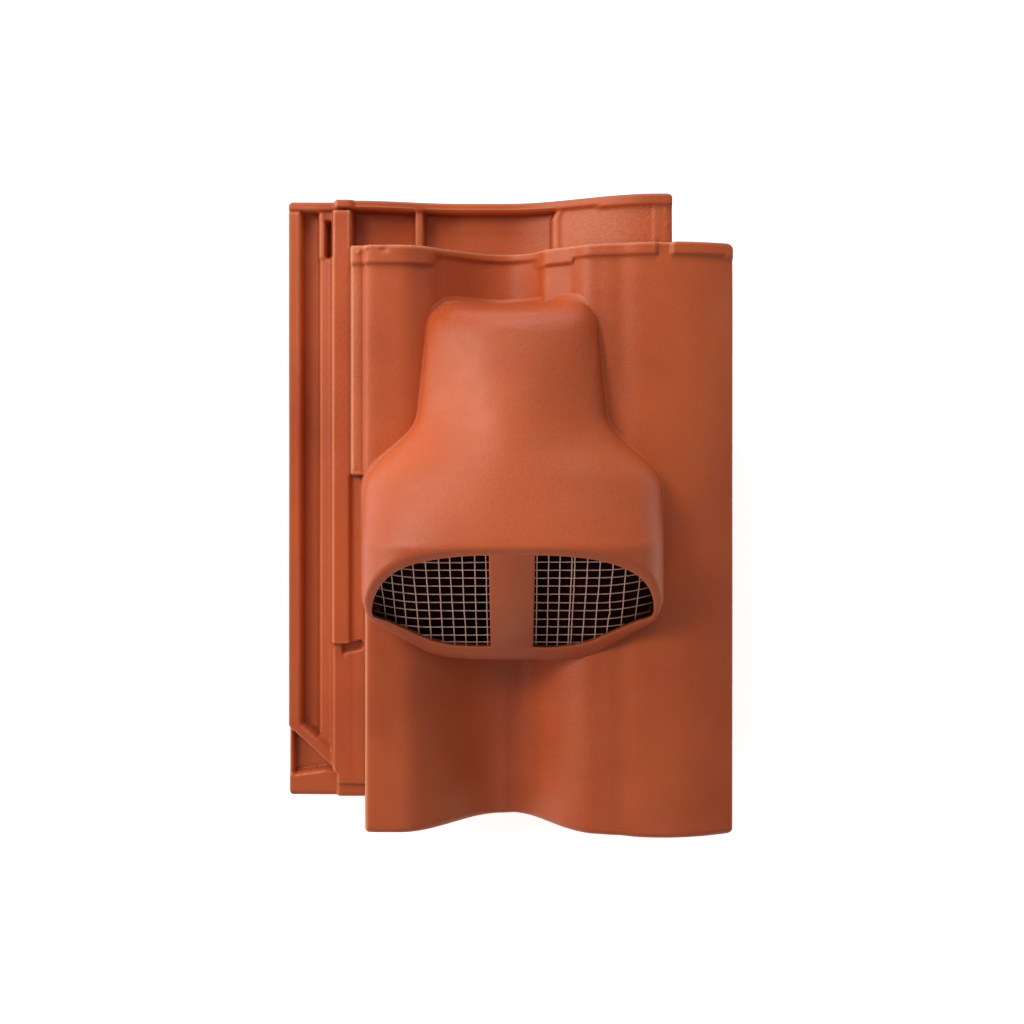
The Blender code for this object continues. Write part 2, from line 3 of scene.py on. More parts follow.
import bmesh
import bpy
import numpy as np
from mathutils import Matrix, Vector


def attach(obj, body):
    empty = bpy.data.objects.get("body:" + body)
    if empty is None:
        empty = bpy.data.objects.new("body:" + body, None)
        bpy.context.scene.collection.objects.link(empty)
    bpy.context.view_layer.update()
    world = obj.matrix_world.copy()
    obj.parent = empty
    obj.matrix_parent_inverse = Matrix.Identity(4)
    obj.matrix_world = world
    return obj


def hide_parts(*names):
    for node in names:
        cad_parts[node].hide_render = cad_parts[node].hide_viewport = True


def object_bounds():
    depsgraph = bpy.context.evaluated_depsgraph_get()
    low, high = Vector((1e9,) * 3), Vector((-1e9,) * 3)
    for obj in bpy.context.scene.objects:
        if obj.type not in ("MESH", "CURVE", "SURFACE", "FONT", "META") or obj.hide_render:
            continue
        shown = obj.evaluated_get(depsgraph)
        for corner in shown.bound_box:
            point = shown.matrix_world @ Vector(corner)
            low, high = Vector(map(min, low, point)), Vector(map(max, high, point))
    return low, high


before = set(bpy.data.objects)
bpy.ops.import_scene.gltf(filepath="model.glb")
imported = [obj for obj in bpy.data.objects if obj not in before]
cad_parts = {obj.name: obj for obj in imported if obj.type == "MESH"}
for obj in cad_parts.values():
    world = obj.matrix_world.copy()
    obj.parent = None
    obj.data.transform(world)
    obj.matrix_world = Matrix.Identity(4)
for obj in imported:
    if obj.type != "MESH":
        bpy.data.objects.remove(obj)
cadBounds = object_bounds()
rng = np.random.default_rng(7)  # only small irregularities come from it
mm = 0.001
print("frame loaded")

# Places on the tile are in mm: x from the left edge, y from the tail, z above the bottom of the pan.
tile = {
    "width": 300, "length": 425, "wall": 13, "underPan": 27,
    "coverX": 57, "coverHead": 390, "lockRight": 261.5, "flangeY": 13,
    "panX": 150, "crest": 40, "crestFlank": 70, "rollStart": 43, "rollFlank": 62,
    "crown": 50, "crownX": 254, "rightEdge": 41, "coverSoft": 2.2, "ledgeDip": 1.5, "ledgeX": 226,
    "edgeSoft": 0.62, "tailRound": 5.0, "leftRound": 1.6, "rightRound": 1.2,
    "rimRound": 2.2, "headRound": 2.5, "underChamfer": 1.5,
    "ribs": 8, "ribPitch": 20, "ribWidth": 7,
    "reliefStart": 300, "reliefRun": 30, "seamEnd": 130, "seamRun": 20, "crestEdge": 56.5, "crestRound": 2.6,
    "reliefReach": 3.2, "warp": 0.16, "warpReach": 60,
}
lock = {
    "rib": 6, "groove": -4, "beadTop": 2.6, "step": 15, "ledge": 9,
    "stepEnd": 121, "ledgeEnd": 237, "splayLow": 31, "splayHigh": 62, "splayWidth": 9.5, "splayEnd": 33,
    "lowStep": 9.6, "lowLedge": 9.4, "ledgeRise": 3.4, "crestFoot": 56.5, "headFoot": 47.2,
    "beadX": (19.3, 31.2), "beadStart": 386, "slotX": 27.1, "slotHalf": 1.7, "slotY": (384, 412.5),
    "slotRound": 388.5, "slotFloor": -5, "flangeTop": 5.8, "flangeEnd": 24,
}
head = {
    "rim": 6.5, "rimPan": 2, "rimLeft": 12.5, "rimRight": 34.5, "panHalf": 30,
    "panUpstand": 12, "rollUpstand": 5, "barDrop": 2, "wall": 10,
    "barX": (87.4, 93.4), "slantX": 182, "slantY": 413, "slantRise": 8, "slant": 0.55, "slantWidth": 6.6,
    "lastBar": 13, "plateDrop": 2.7,
}


def ease(share):
    return (1 - np.cos(np.pi * np.clip(share, 0, 1))) / 2


def between(x, limits):
    return (x > limits[0]) & (x < limits[1])


def blurred(values, sigma, axis):
    reach = int(4 * sigma) + 1
    weights = np.exp(-0.5 * (np.arange(-reach, reach + 1) / sigma) ** 2)
    weights /= weights.sum()
    pad = [(0, 0)] * values.ndim
    pad[axis] = (reach, reach)
    padded = np.pad(values, pad, mode="edge")
    count = values.shape[axis]
    return sum(w * np.take(padded, np.arange(k, k + count), axis) for k, w in enumerate(weights))


def rawCover(x):
    t = tile
    start = t["panX"] + t["rollFlank"]
    crest = t["crest"] * ease((t["panX"] - x) / t["crestFlank"])
    rise = t["rollStart"] * ease((x - t["panX"]) / t["rollFlank"])
    share = np.clip((t["crownX"] - x) / (t["crownX"] - start), 0, 1)
    toCrown = t["crown"] - (t["crown"] - t["rollStart"]) * share**2
    share = np.clip((x - t["crownX"]) / (t["width"] - t["crownX"]), 0, 2)
    fromCrown = t["crown"] - (t["crown"] - t["rightEdge"]) * share**2
    toCrown -= t["ledgeDip"] * np.exp(-(((x - t["ledgeX"]) / 6.5) ** 2))
    past = np.where(x < start, rise, np.where(x < t["crownX"], toCrown, fromCrown))
    return np.where(x < t["panX"], crest, past)


coverPlaces = np.arange(-20, 320.25, 0.5)
coverLine = blurred(rawCover(coverPlaces), tile["coverSoft"] / 0.5, 0)


def coverAt(x):
    return np.interp(x, coverPlaces, coverLine)


def profile(x, points):
    return np.interp(x, [p[0] for p in points], [p[1] for p in points])


def rimAt(x):
    h = head
    left = profile(x, [(31.5, lock["rib"]), (34, 15.5), (43, 15.5), (48, h["rimLeft"])])
    share = (tile["panX"] - h["panHalf"] - x) / (tile["panX"] - h["panHalf"] - 44)
    crest = h["rimPan"] + (h["rimLeft"] - h["rimPan"]) * ease(share)
    share = (x - tile["panX"]) / (tile["crownX"] - tile["panX"])
    roll = h["rimPan"] + (h["rimRight"] - h["rimPan"]) * ease(share)
    return np.where(x < 46, left, np.where(x < tile["panX"], crest, roll))


def recessAt(x):
    h = head
    start = tile["panX"] + h["panHalf"]
    share = ease((x - start) / (tile["crownX"] - start))
    return rimAt(np.maximum(x, 46)) - h["panUpstand"] - (h["rollUpstand"] - h["panUpstand"]) * share


def lockSection(x, step, ledge, crestFoot):
    points = [
        (0, lock["rib"]), (8, lock["rib"]), (9.6, lock["groove"]), (19.6, lock["groove"]),
        (21.2, lock["beadTop"] - 0.6), (29, lock["beadTop"] + 0.4), (31.8, step), (43.2, step),
        (45, ledge), (crestFoot - 1.5, ledge + 1.2), (crestFoot, tile["crest"] - 2 - (57 - crestFoot) / 4),
        (61, tile["crest"]),
    ]
    return profile(x, points)


def lockHeight(x, y):
    low = lockSection(x, lock["lowStep"], lock["lowLedge"], lock["crestFoot"])
    middle = lockSection(x, lock["step"], lock["ledge"] + lock["ledgeRise"], lock["crestFoot"])
    high = lockSection(x, lock["step"], lock["step"] - 0.6, lock["headFoot"])
    height = np.where(y < lock["stepEnd"], low, np.where(y < lock["ledgeEnd"], middle, high))
    notch = between(x, (38, 52)) & (abs(y - 118.5 - (x - 45) * 0.25) < 3)
    height = np.where(notch, 6.5, height)
    nearHead = (y > lock["beadStart"]) & between(x, lock["beadX"])
    bead = profile(x, [(19.3, -4), (20.6, 3), (24, 3.4), (25.2, 3), (31.2, 3.2)])
    height = np.where(nearHead, bead, height)
    slotEnd = np.clip(lock["slotRound"] - y, 0, None)
    slot = np.hypot((x - lock["slotX"]) / lock["slotHalf"], slotEnd / lock["slotHalf"])
    height = np.where((slot < 1) & between(y, lock["slotY"]), lock["slotFloor"], height)
    lowEdge = lock["splayHigh"] + (lock["splayLow"] - lock["splayHigh"]) * x / lock["splayEnd"]
    corner = (x < 34) & (y < lowEdge)
    height = np.where(corner, lock["groove"] - 0.5, height)
    height = np.where(corner & (x < 3.2), 1.5, height)
    sillTop = 28.2 + 3.4 * np.clip(x / 24, 0, 1)
    height = np.where(corner & (y < sillTop), 2.6, height)
    flange = (x < 55) & (y < lock["flangeEnd"])
    height = np.where(flange, np.minimum(height, lock["flangeTop"]), height)
    bar = (y > lowEdge) & (y < lowEdge + lock["splayWidth"] + 3 * (x / lock["splayEnd"])) & (x < 35.5)
    return np.where(bar, np.maximum(height, lock["rib"]), height)


def headLockHeight(x, y):
    floor = recessAt(x)
    lastBar = tile["lockRight"] - head["lastBar"]
    slant = head["slantX"] + np.clip(y - head["slantY"], 0, head["slantRise"]) * head["slant"]
    bars = between(x, head["barX"]) | (x > lastBar) | between(x, (slant, slant + head["slantWidth"]))
    floor = np.where(bars, rimAt(x) - head["barDrop"], floor)
    floor = np.where((x > slant + 5) & (x <= lastBar), rimAt(x) - head["plateDrop"], floor)
    corner = (x < 45) & (y < tile["length"] - head["rim"])
    floor = np.where(corner, lockHeight(x, y), floor)
    reach = tile["length"] - head["rim"] - np.where(x > 212, 1.5, 0)
    return np.where(y > reach, rimAt(x), floor)


# Lip along the head edge of the cover: where each stretch lies, its depth from the edge and its height.
lip = {
    "crestX": (40, 101), "crestDepth": 13.3, "crestTop": 2.8, "endX": 97, "endDepth": 7, "endRadius": 6.3,
    "nubX": (171.8, 195.4), "nubDepth": 11.6, "nubTop": 3.5,
    "panX": (100, 212), "panDepth": 6.2, "panTop": 2.3,
    "rollX": 195, "gapX": (248.5, 258.5), "rollDepth": 8.6, "rollTop": 2.5, "edgeX": 294.5, "edgeDepth": 10.2,
}


def lipHeight(x, y):
    fromHead = tile["coverHead"] - y
    crest = between(x, lip["crestX"]) & (fromHead < lip["crestDepth"])
    fromEnd = np.hypot(np.clip(x - lip["endX"], 0, None), fromHead - lip["endDepth"])
    crest |= (fromEnd < lip["endRadius"]) & (x > 90)
    nub = between(x, lip["nubX"]) & (fromHead < lip["nubDepth"])
    pan = between(x, lip["panX"]) & (fromHead < lip["panDepth"])
    roll = (x > lip["rollX"]) & (fromHead < lip["rollDepth"]) & ~between(x, lip["gapX"])
    roll |= (x > lip["edgeX"]) & (fromHead < lip["edgeDepth"])
    height = np.where(roll, lip["rollTop"], np.where(pan, lip["panTop"], 0.0))
    return np.where(crest, lip["crestTop"], np.where(nub, lip["nubTop"], height))


def noiseField(shape, reach):
    field = blurred(blurred(np.random.default_rng(7).normal(size=shape), reach, 0), reach, 1)
    return field / field.std()


def dentsAndBurrs(x, y):
    # Dents and crumbs are x, y, radius and height. Burrs are start, end and height.
    dents = [(70.3, 385.9, 2.1, -1.7), (49.5, 242, 1.6, 0.9), (166.8, 391, 1.3, 0.8)]
    dents += [(251.6, 392, 1.5, -0.9), (203, 388, 1.1, 0.6), (118, 372, 1.0, -0.35)]
    change = np.zeros_like(x)
    for cx, cy, radius, size in dents:
        change += size * np.exp(-(((x - cx) ** 2 + (y - cy) ** 2) / radius**2) ** 2)
    ragged = noiseField(x.shape, 2.2)
    burrs = [((31, 49), (11, 66), 0.8), ((36, 30), (2, 61), 0.5), ((46, 381), (62, 389), 1.4)]
    burrs += [((193, 384), (195, 390), 1.2), ((257.7, 394), (257.7, 415), 0.7), ((22, 32), (28, 31), 1.2)]
    for (ax, ay), (bx, by), size in burrs:
        length = math.hypot(bx - ax, by - ay)
        along = np.clip(((x - ax) * (bx - ax) + (y - ay) * (by - ay)) / length**2, 0, 1)
        away = np.hypot(x - ax - along * (bx - ax), y - ay - along * (by - ay))
        change += size * np.exp(-((away / 1.0) ** 2)) * np.clip(0.55 + 0.6 * ragged, 0, 1.5)
    return change


def roundedOff(distance, radius):
    return radius - np.sqrt(radius**2 - np.clip(radius - distance, 0, radius) ** 2)


def tileTop(headLockPast):
    t = tile
    x, y = np.meshgrid(rasterX, rasterY, indexing="ij")
    cover = coverAt(x) + lipHeight(x, y)
    reliefPoints = [(101, 0), (105, -1.5), (173.5, -1.5), (176.5, 3), (192.5, -3.2), (195, -3), (203, 0)]
    cover += profile(x, reliefPoints) * ease((y - t["reliefStart"]) / t["reliefRun"])
    seam = profile(x, [(128, 0), (149.7, 1.3), (157, -0.9), (168, -1.9), (188, 0)])
    cover += seam * ease((t["seamEnd"] - y) / t["seamRun"])
    side = lockHeight(x, y) + np.where(between(x, (45.4, 58)), lipHeight(x, y), 0)
    height = np.where(x < t["coverX"], side, cover)
    inHead = (y > t["coverHead"]) & ((x < t["lockRight"]) | headLockPast)
    height = np.where(inHead, headLockHeight(np.minimum(x, t["lockRight"] - 0.5), y), height)
    fromEdge = abs(x - t["crestEdge"]) / t["crestRound"]
    height -= np.where(height > 25, t["crestRound"] * np.exp(-fromEdge), 0)  # the side lock's ledges stay
    height += dentsAndBurrs(x, y)
    soft = blurred(blurred(height, t["edgeSoft"] / 0.5, 0), t["edgeSoft"] / 0.5, 1)
    wide = blurred(blurred(height, t["reliefReach"], 0), t["reliefReach"], 1)
    soft += t["warp"] * noiseField(x.shape, t["warpReach"])
    soft -= roundedOff(y - np.where(x < t["coverX"], t["flangeY"], 0), t["tailRound"])
    soft -= roundedOff(x, t["leftRound"]) + roundedOff(t["width"] - x, t["rightRound"])
    soft -= roundedOff(t["length"] - y, t["rimRound"])
    soft -= np.where(x > t["lockRight"], roundedOff(t["coverHead"] - y, t["headRound"]), 0)
    soft -= np.where(y > t["coverHead"], roundedOff(t["lockRight"] - x, t["leftRound"]), 0)
    return soft, soft - wide


def undersideHeight(x, y):
    t = tile
    lowest = recessAt(x) - head["wall"]
    points = [(26.5, -t["wall"]), (39.5, -4), (57, -4), (70, 27)]
    slope = (coverAt(x + 1) - coverAt(x - 1)) / 2
    under = coverAt(x) - t["wall"] * np.sqrt(1 + slope**2)
    fromRight = t["width"] - x
    rib = (fromRight < 2 * t["ribPitch"]) & (fromRight % t["ribPitch"] < t["ribWidth"])
    under = np.where(rib, under - t["ribs"], under)
    under = np.where(x < 70, profile(x, points), under)
    return np.where(y > t["coverHead"] - t["wall"], lowest, under)


def spaced(stops):
    places = []
    for start, end, step in stops:
        places += list(np.linspace(start, end, max(1, round((end - start) / step)), endpoint=False))
    return np.array([*places, stops[-1][1]])


def roundedPlan(x, y):
    corners = [(0, 13, 1, 1, 3.2), (57, 0, 1, 1, 2.6), (300, 0, -1, 1, 3.5), (300, 390, -1, -1, 4.5)]
    corners += [(0, 425, 1, -1, 3.2), (261.5, 425, -1, -1, 3.0)]
    for cx, cy, sx, sy, r in corners:
        a, b = 1 - (x - cx) * sx / r, 1 - (y - cy) * sy / r
        near = (a > 0) & (a <= 1.001) & (b > 0) & (b <= 1.001)
        newA, newB = a * np.sqrt(1 - np.clip(b, 0, 1) ** 2 / 2), b * np.sqrt(1 - np.clip(a, 0, 1) ** 2 / 2)
        x, y = np.where(near, cx + (1 - newA) * r * sx, x), np.where(near, cy + (1 - newB) * r * sy, y)
    return x, y


def sampleTop(x, y, relief=False):
    low, high = (reliefRaster, headRelief) if relief else (topRaster, headRaster)
    return np.where(y > tile["coverHead"] + 0.01, sample(high, x, y), sample(low, x, y))


def sample(raster, x, y):
    i = np.clip(x / rasterStep, 0, raster.shape[0] - 1.001)
    j = np.clip(y / rasterStep, 0, raster.shape[1] - 1.001)
    a, b = i.astype(int), j.astype(int)
    u, v = i - a, j - b
    low = raster[a, b] * (1 - u) + raster[a + 1, b] * u
    return low * (1 - v) + (raster[a, b + 1] * (1 - u) + raster[a + 1, b + 1] * u) * v


def inOutline(x, y):
    return not (x < tile["coverX"] and y < tile["flangeY"]) and not (
        x > tile["lockRight"] and y > tile["coverHead"]
    )


def worldFrom(x, y, z):
    return np.stack([x - tile["width"] / 2, y - tile["length"] / 2, z + tile["underPan"]], -1) * mm


def meshFrom(name, points, faces):
    mesh = bpy.data.meshes.new(name)
    mesh.from_pydata([tuple(p) for p in points], [], faces)
    data = bmesh.new()
    data.from_mesh(mesh)
    bmesh.ops.recalc_face_normals(data, faces=data.faces)
    data.to_mesh(mesh)
    data.free()
    return mesh


def shown(name, mesh):
    obj = bpy.data.objects.new(name, mesh)
    bpy.context.scene.collection.objects.link(obj)
    return obj


def tileBody():
    columns = spaced([(0, 2, 0.5), (2, 57, 0.75), (57, 64, 0.9), (64, 86, 2), (86, 96, 0.8), (96, 176, 2.2),
                      (176, 202, 0.9), (202, 246, 2.2), (246, 261.5, 0.8), (261.5, 294, 2), (294, 300, 0.75)])
    rows = spaced([(0, 8, 0.7), (8, 13, 1), (13, 36, 0.8), (36, 70, 1.1), (70, 113, 4), (113, 127, 1),
                   (127, 232, 5), (232, 242, 1), (242, 322, 5), (322, 330, 1), (330, 374, 4),
                   (374, 394, 0.75), (394, 416, 1), (416, 425, 0.7)])
    gridX, gridY = np.meshgrid(columns, rows, indexing="ij")
    top = sampleTop(gridX, gridY)
    wantX = [0, 13, 26.5, 33, 39.5, 48, 57, 63, 70, *np.arange(76, 262, 5), 261.5, 273, 274.5, 280, 281.5,
             287, 293, 294.5, 300]
    wantY = [0, 13, 60, 120, 180, 240, 300, 350, 376.5, 378.5, 390, 400, 412, 425]
    coarseX = sorted({int(np.argmin(abs(columns - w))) for w in wantX})
    coarseY = sorted({int(np.argmin(abs(rows - w))) for w in wantY})
    places, faces, topAt = [], [], {}

    def point(x, y, z):
        places.append((x, y, z))
        return len(places) - 1

    def topPoint(i, j):
        if (i, j) not in topAt:
            topAt[i, j] = point(columns[i], rows[j], top[i, j])
        return topAt[i, j]

    for i in range(len(columns) - 1):
        for j in range(len(rows) - 1):
            if inOutline((columns[i] + columns[i + 1]) / 2, (rows[j] + rows[j + 1]) / 2):
                faces.append([topPoint(i, j), topPoint(i + 1, j), topPoint(i + 1, j + 1), topPoint(i, j + 1)])
    middleX = [columns[a : b + 1].mean() for a, b in zip(coarseX, coarseX[1:])]
    middleY = [rows[a : b + 1].mean() for a, b in zip(coarseY, coarseY[1:])]
    cells = {(a, b) for a, x in enumerate(middleX) for b, y in enumerate(middleY) if inOutline(x, y)}
    inward, edges = {}, []
    sides = [((0, 0), (1, 0), (0, -1)), ((1, 0), (1, 1), (1, 0)),
             ((1, 1), (0, 1), (0, 1)), ((0, 1), (0, 0), (-1, 0))]  # start, end, neighbour
    for a, b in sorted(cells):
        for start, end, beyond in sides:
            if (a + beyond[0], b + beyond[1]) in cells:
                continue
            ends = [(a + start[0], b + start[1]), (a + end[0], b + end[1])]
            edges.append(ends)
            for place in ends:
                inward.setdefault(place, set()).add((-beyond[0], -beyond[1]))
    lowAt, midAt = {}, {}

    def lowPoint(a, b):
        if (a, b) not in lowAt:
            x, y = columns[coarseX[a]], rows[coarseY[b]]
            z = float(undersideHeight(np.array(x), np.array(y)))
            shift = [sum(v[k] for v in inward.get((a, b), ())) * tile["underChamfer"] for k in (0, 1)]
            lowAt[a, b] = point(x + shift[0], y + shift[1], z)
            if (a, b) in inward:
                midAt[a, b] = point(x, y, z + tile["underChamfer"])
        return lowAt[a, b]

    for a, b in sorted(cells):
        faces.append([lowPoint(a, b + 1), lowPoint(a + 1, b + 1), lowPoint(a + 1, b), lowPoint(a, b)])
    for (a, b), (c, d) in edges:
        fromI, toI, fromJ, toJ = coarseX[a], coarseX[c], coarseY[b], coarseY[d]
        stepI, stepJ = np.sign(toI - fromI), np.sign(toJ - fromJ)
        count = max(abs(toI - fromI), abs(toJ - fromJ))
        line = [topPoint(fromI + k * stepI, fromJ + k * stepJ) for k in range(count + 1)]
        faces.append([*line[::-1], midAt[a, b], midAt[c, d]])
        faces.append([midAt[c, d], midAt[a, b], lowAt[a, b], lowAt[c, d]])
    places = np.array(places, float)
    x, y = roundedPlan(places[:, 0], places[:, 1])
    return meshFrom("tileBody", worldFrom(x, y, places[:, 2]), faces)


# Hood: X from its own axis, p from its chin towards the head of the tile.
hood = {
    "axis": 154.5, "chinY": 115, "chinTop": 39, "angle": math.radians(40), "top": 106.5, "half": 96.6,
    "sideStart": 44, "shoulder": 115, "neckStart": 163, "neckHalf": 61.5, "headHalf": 55.5, "headTop": 58,
    "plateau": 227, "length": 240, "wall": 6, "chinWall": 10.5, "fillet": 3.2, "rimOut": 2.3, "chinOut": 6.2,
    "rimIn": 0.9, "pier": 14, "pierDepth": 3, "pierFoot": 6, "pierGap": 3, "frontFull": 3.4, "headFull": 2.4,
    "ductFrom": 84, "ductTo": 212, "ductInset": 14, "cornerX": 92, "cornerP": 33, "cornerThin": 0.45,
}
slope = math.tan(hood["angle"])
frontLength = (hood["top"] - hood["chinTop"]) / slope
upSlope = np.array([0, math.cos(hood["angle"]), math.sin(hood["angle"])])
outOfMouth = np.array([0, -math.sin(hood["angle"]), math.cos(hood["angle"])])

hoodPlaces = np.arange(0, 260, 0.5)


def rawHalf(p):
    h = hood
    share = (p - h["shoulder"]) / (h["neckStart"] - h["shoulder"])
    shoulder = h["half"] + (h["neckHalf"] - h["half"]) * ease(share)
    neck = np.interp(p, [h["neckStart"], h["plateau"]], [h["neckHalf"], h["headHalf"]])
    end = np.clip((p - h["plateau"] + 4) / (h["length"] - h["plateau"] + 4), 0, 1)
    return np.where(p < h["neckStart"], shoulder, neck) * (1 - 0.26 * end**2.2)


halfLine = blurred(rawHalf(hoodPlaces), 5, 0)


def archAt(p):
    h = hood
    half = np.interp(p, hoodPlaces, halfLine)
    full = np.interp(p, [frontLength, 115, 139, 227], [h["frontFull"], 2.3, 1.9, h["headFull"]])
    top = np.interp(p, [frontLength, h["plateau"]], [h["top"], h["headTop"]])
    top = np.where(p > h["plateau"], h["headTop"] - 0.33 * (p - h["plateau"]), top)
    end = np.clip((p - 223) / (h["length"] - 223), 0, 1)
    return half, full, top, np.clip(1 - end**1.9, 0, 1) ** 0.9


def hoodSurface(p, theta, side):
    h = hood
    half, full, top, kept = archAt(p)
    across = half * np.clip(np.cos(theta), 0, 1) ** (2 / full)
    base = coverAt(h["axis"] + side * across)
    z = base + (top - base) * kept * np.clip(np.sin(theta), 0, 1) ** (2 / full)
    return np.stack([side * across, p, z], -1)


def byLength(points, count, power=1.0):
    steps = np.linalg.norm(np.diff(points, axis=0), axis=1)
    lengths = np.concatenate([[0], np.cumsum(steps)])
    wanted = lengths[-1] * np.linspace(0, 1, count) ** power
    return np.stack([np.interp(wanted, lengths, points[:, k]) for k in range(points.shape[1])], -1)


def frontOutline():
    wide = hood["half"]
    corners = [(0, -1.6), (25, -1.2), (42, 0.8), (56, 5.8), (wide - 3.5, 31), (wide, 44), (wide, 60)]
    dense = byLength(np.array(corners, float), 400)
    mirrored = np.concatenate([dense[:0:-1] * (-1, 1), dense])
    soft = np.stack([blurred(mirrored[:, k], 9, 0) for k in (0, 1)], -1)[399:]
    stop = int(np.argmax(soft[:, 1] > hood["sideStart"]))
    return byLength(np.concatenate([soft[:stop], [(wide, hood["sideStart"])]]), 26)


pathShare = np.linspace(0, 1, 160)


def chinPaths(side):
    h, full = hood, hood["frontFull"]
    outline = frontOutline()
    tangent = np.gradient(outline, axis=0)
    tangent /= np.linalg.norm(tangent, axis=1)[:, None]
    tangent[0], tangent[-1] = (1, 0), (0, 1)
    paths = []
    for (ox, op), (tx, tp) in zip(outline, tangent):
        base = float(coverAt(h["axis"] + side * ox))
        inwardX, inwardP = -tp, tx
        inset = 0.0
        for _ in range(12):
            rimZ = h["chinTop"] + slope * (op + inwardP * inset)
            rel = (rimZ - base) / (h["top"] - base)
            inset = h["half"] * (1 - (1 - rel**full) ** (1 / full))
        top = math.asin(rel ** (full / 2))
        rise = np.sin(top * pathShare) ** (2 / full)
        lean = h["half"] * (1 - (1 - rise**full) ** (1 / full))
        z = base + (h["top"] - base) * rise
        paths.append(np.stack([side * (ox + inwardX * lean), op + inwardP * lean, z], -1))
    return paths


def roofPaths(side, cheekX):
    h, full = hood, hood["frontFull"]
    across = np.linspace(cheekX, 0, 300)
    base = coverAt(h["axis"] + side * across)
    arch = base + (h["top"] - base) * (1 - (across / h["half"]) ** full) ** (1 / full)
    rimP = (arch - h["chinTop"]) / slope
    theta = np.arccos(np.clip(across / h["half"], 0, 1) ** (full / 2))
    steps = np.linalg.norm(np.diff(np.stack([across, rimP, arch], -1), axis=0), axis=1)
    lengths = np.concatenate([[0], np.cumsum(steps)]) / steps.sum()
    fraction = np.linspace(0, 1, 66)[1:]
    rimTheta, rimPlace = np.interp(fraction, lengths, theta), np.interp(fraction, lengths, rimP)
    down = np.linspace(h["sideStart"], h["length"], 200)
    sidePlan = np.stack([np.interp(down, hoodPlaces, halfLine), down, 0 * down], -1)  # x, p, theta
    turn = np.linspace(0, math.pi / 2, 60)[1:]
    endHalf = np.interp(h["length"], hoodPlaces, halfLine)
    endX = endHalf * np.cos(turn) ** (2 / h["headFull"])
    endPlan = np.stack([endX, 0 * turn + h["length"], turn], -1)
    plan = np.concatenate([sidePlan, endPlan])
    steps = np.linalg.norm(np.diff(plan[:, :2], axis=0), axis=1)
    lengths = np.concatenate([[0], np.cumsum(steps)]) / steps.sum()
    power = fraction**1.65
    baseP, baseTheta = np.interp(power, lengths, plan[:, 1]), np.interp(power, lengths, plan[:, 2])
    paths = []
    for k in range(len(fraction)):
        p = baseP[k] + (rimPlace[k] - baseP[k]) * pathShare
        angle = baseTheta[k] + (rimTheta[k] - baseTheta[k]) * pathShare
        paths.append(hoodSurface(p, angle, side))
    return paths


def hoodPaths(side):  # lines up the hood from its foot to the rim of the mouth, chin first
    paths = chinPaths(side)
    return paths + roofPaths(side, abs(paths[-1][-1][0]))


def underRoof(points):
    h = hood
    half, full, top, kept = archAt(points[:, 1])
    x = points[:, 0]
    base = coverAt(h["axis"] + x)
    arch = (1 - np.clip(abs(x) / half, 0, 1) ** full) ** (1 / full)
    roof = base + (top - base) * kept * arch - 0.75 * h["wall"]
    z = np.where(points[:, 1] > 92, np.minimum(points[:, 2], roof), points[:, 2])
    return np.stack([x, np.minimum(points[:, 1], 232), z], -1)


def bend(start, control, end, count):
    s = np.linspace(0, 1, count + 2)[1:-1, None, None]
    return list(start * (1 - s) ** 2 + 2 * control * s * (1 - s) + end * s**2)


def unit(vectors):
    return vectors / np.maximum(np.linalg.norm(vectors, axis=-1, keepdims=True), 1e-9)


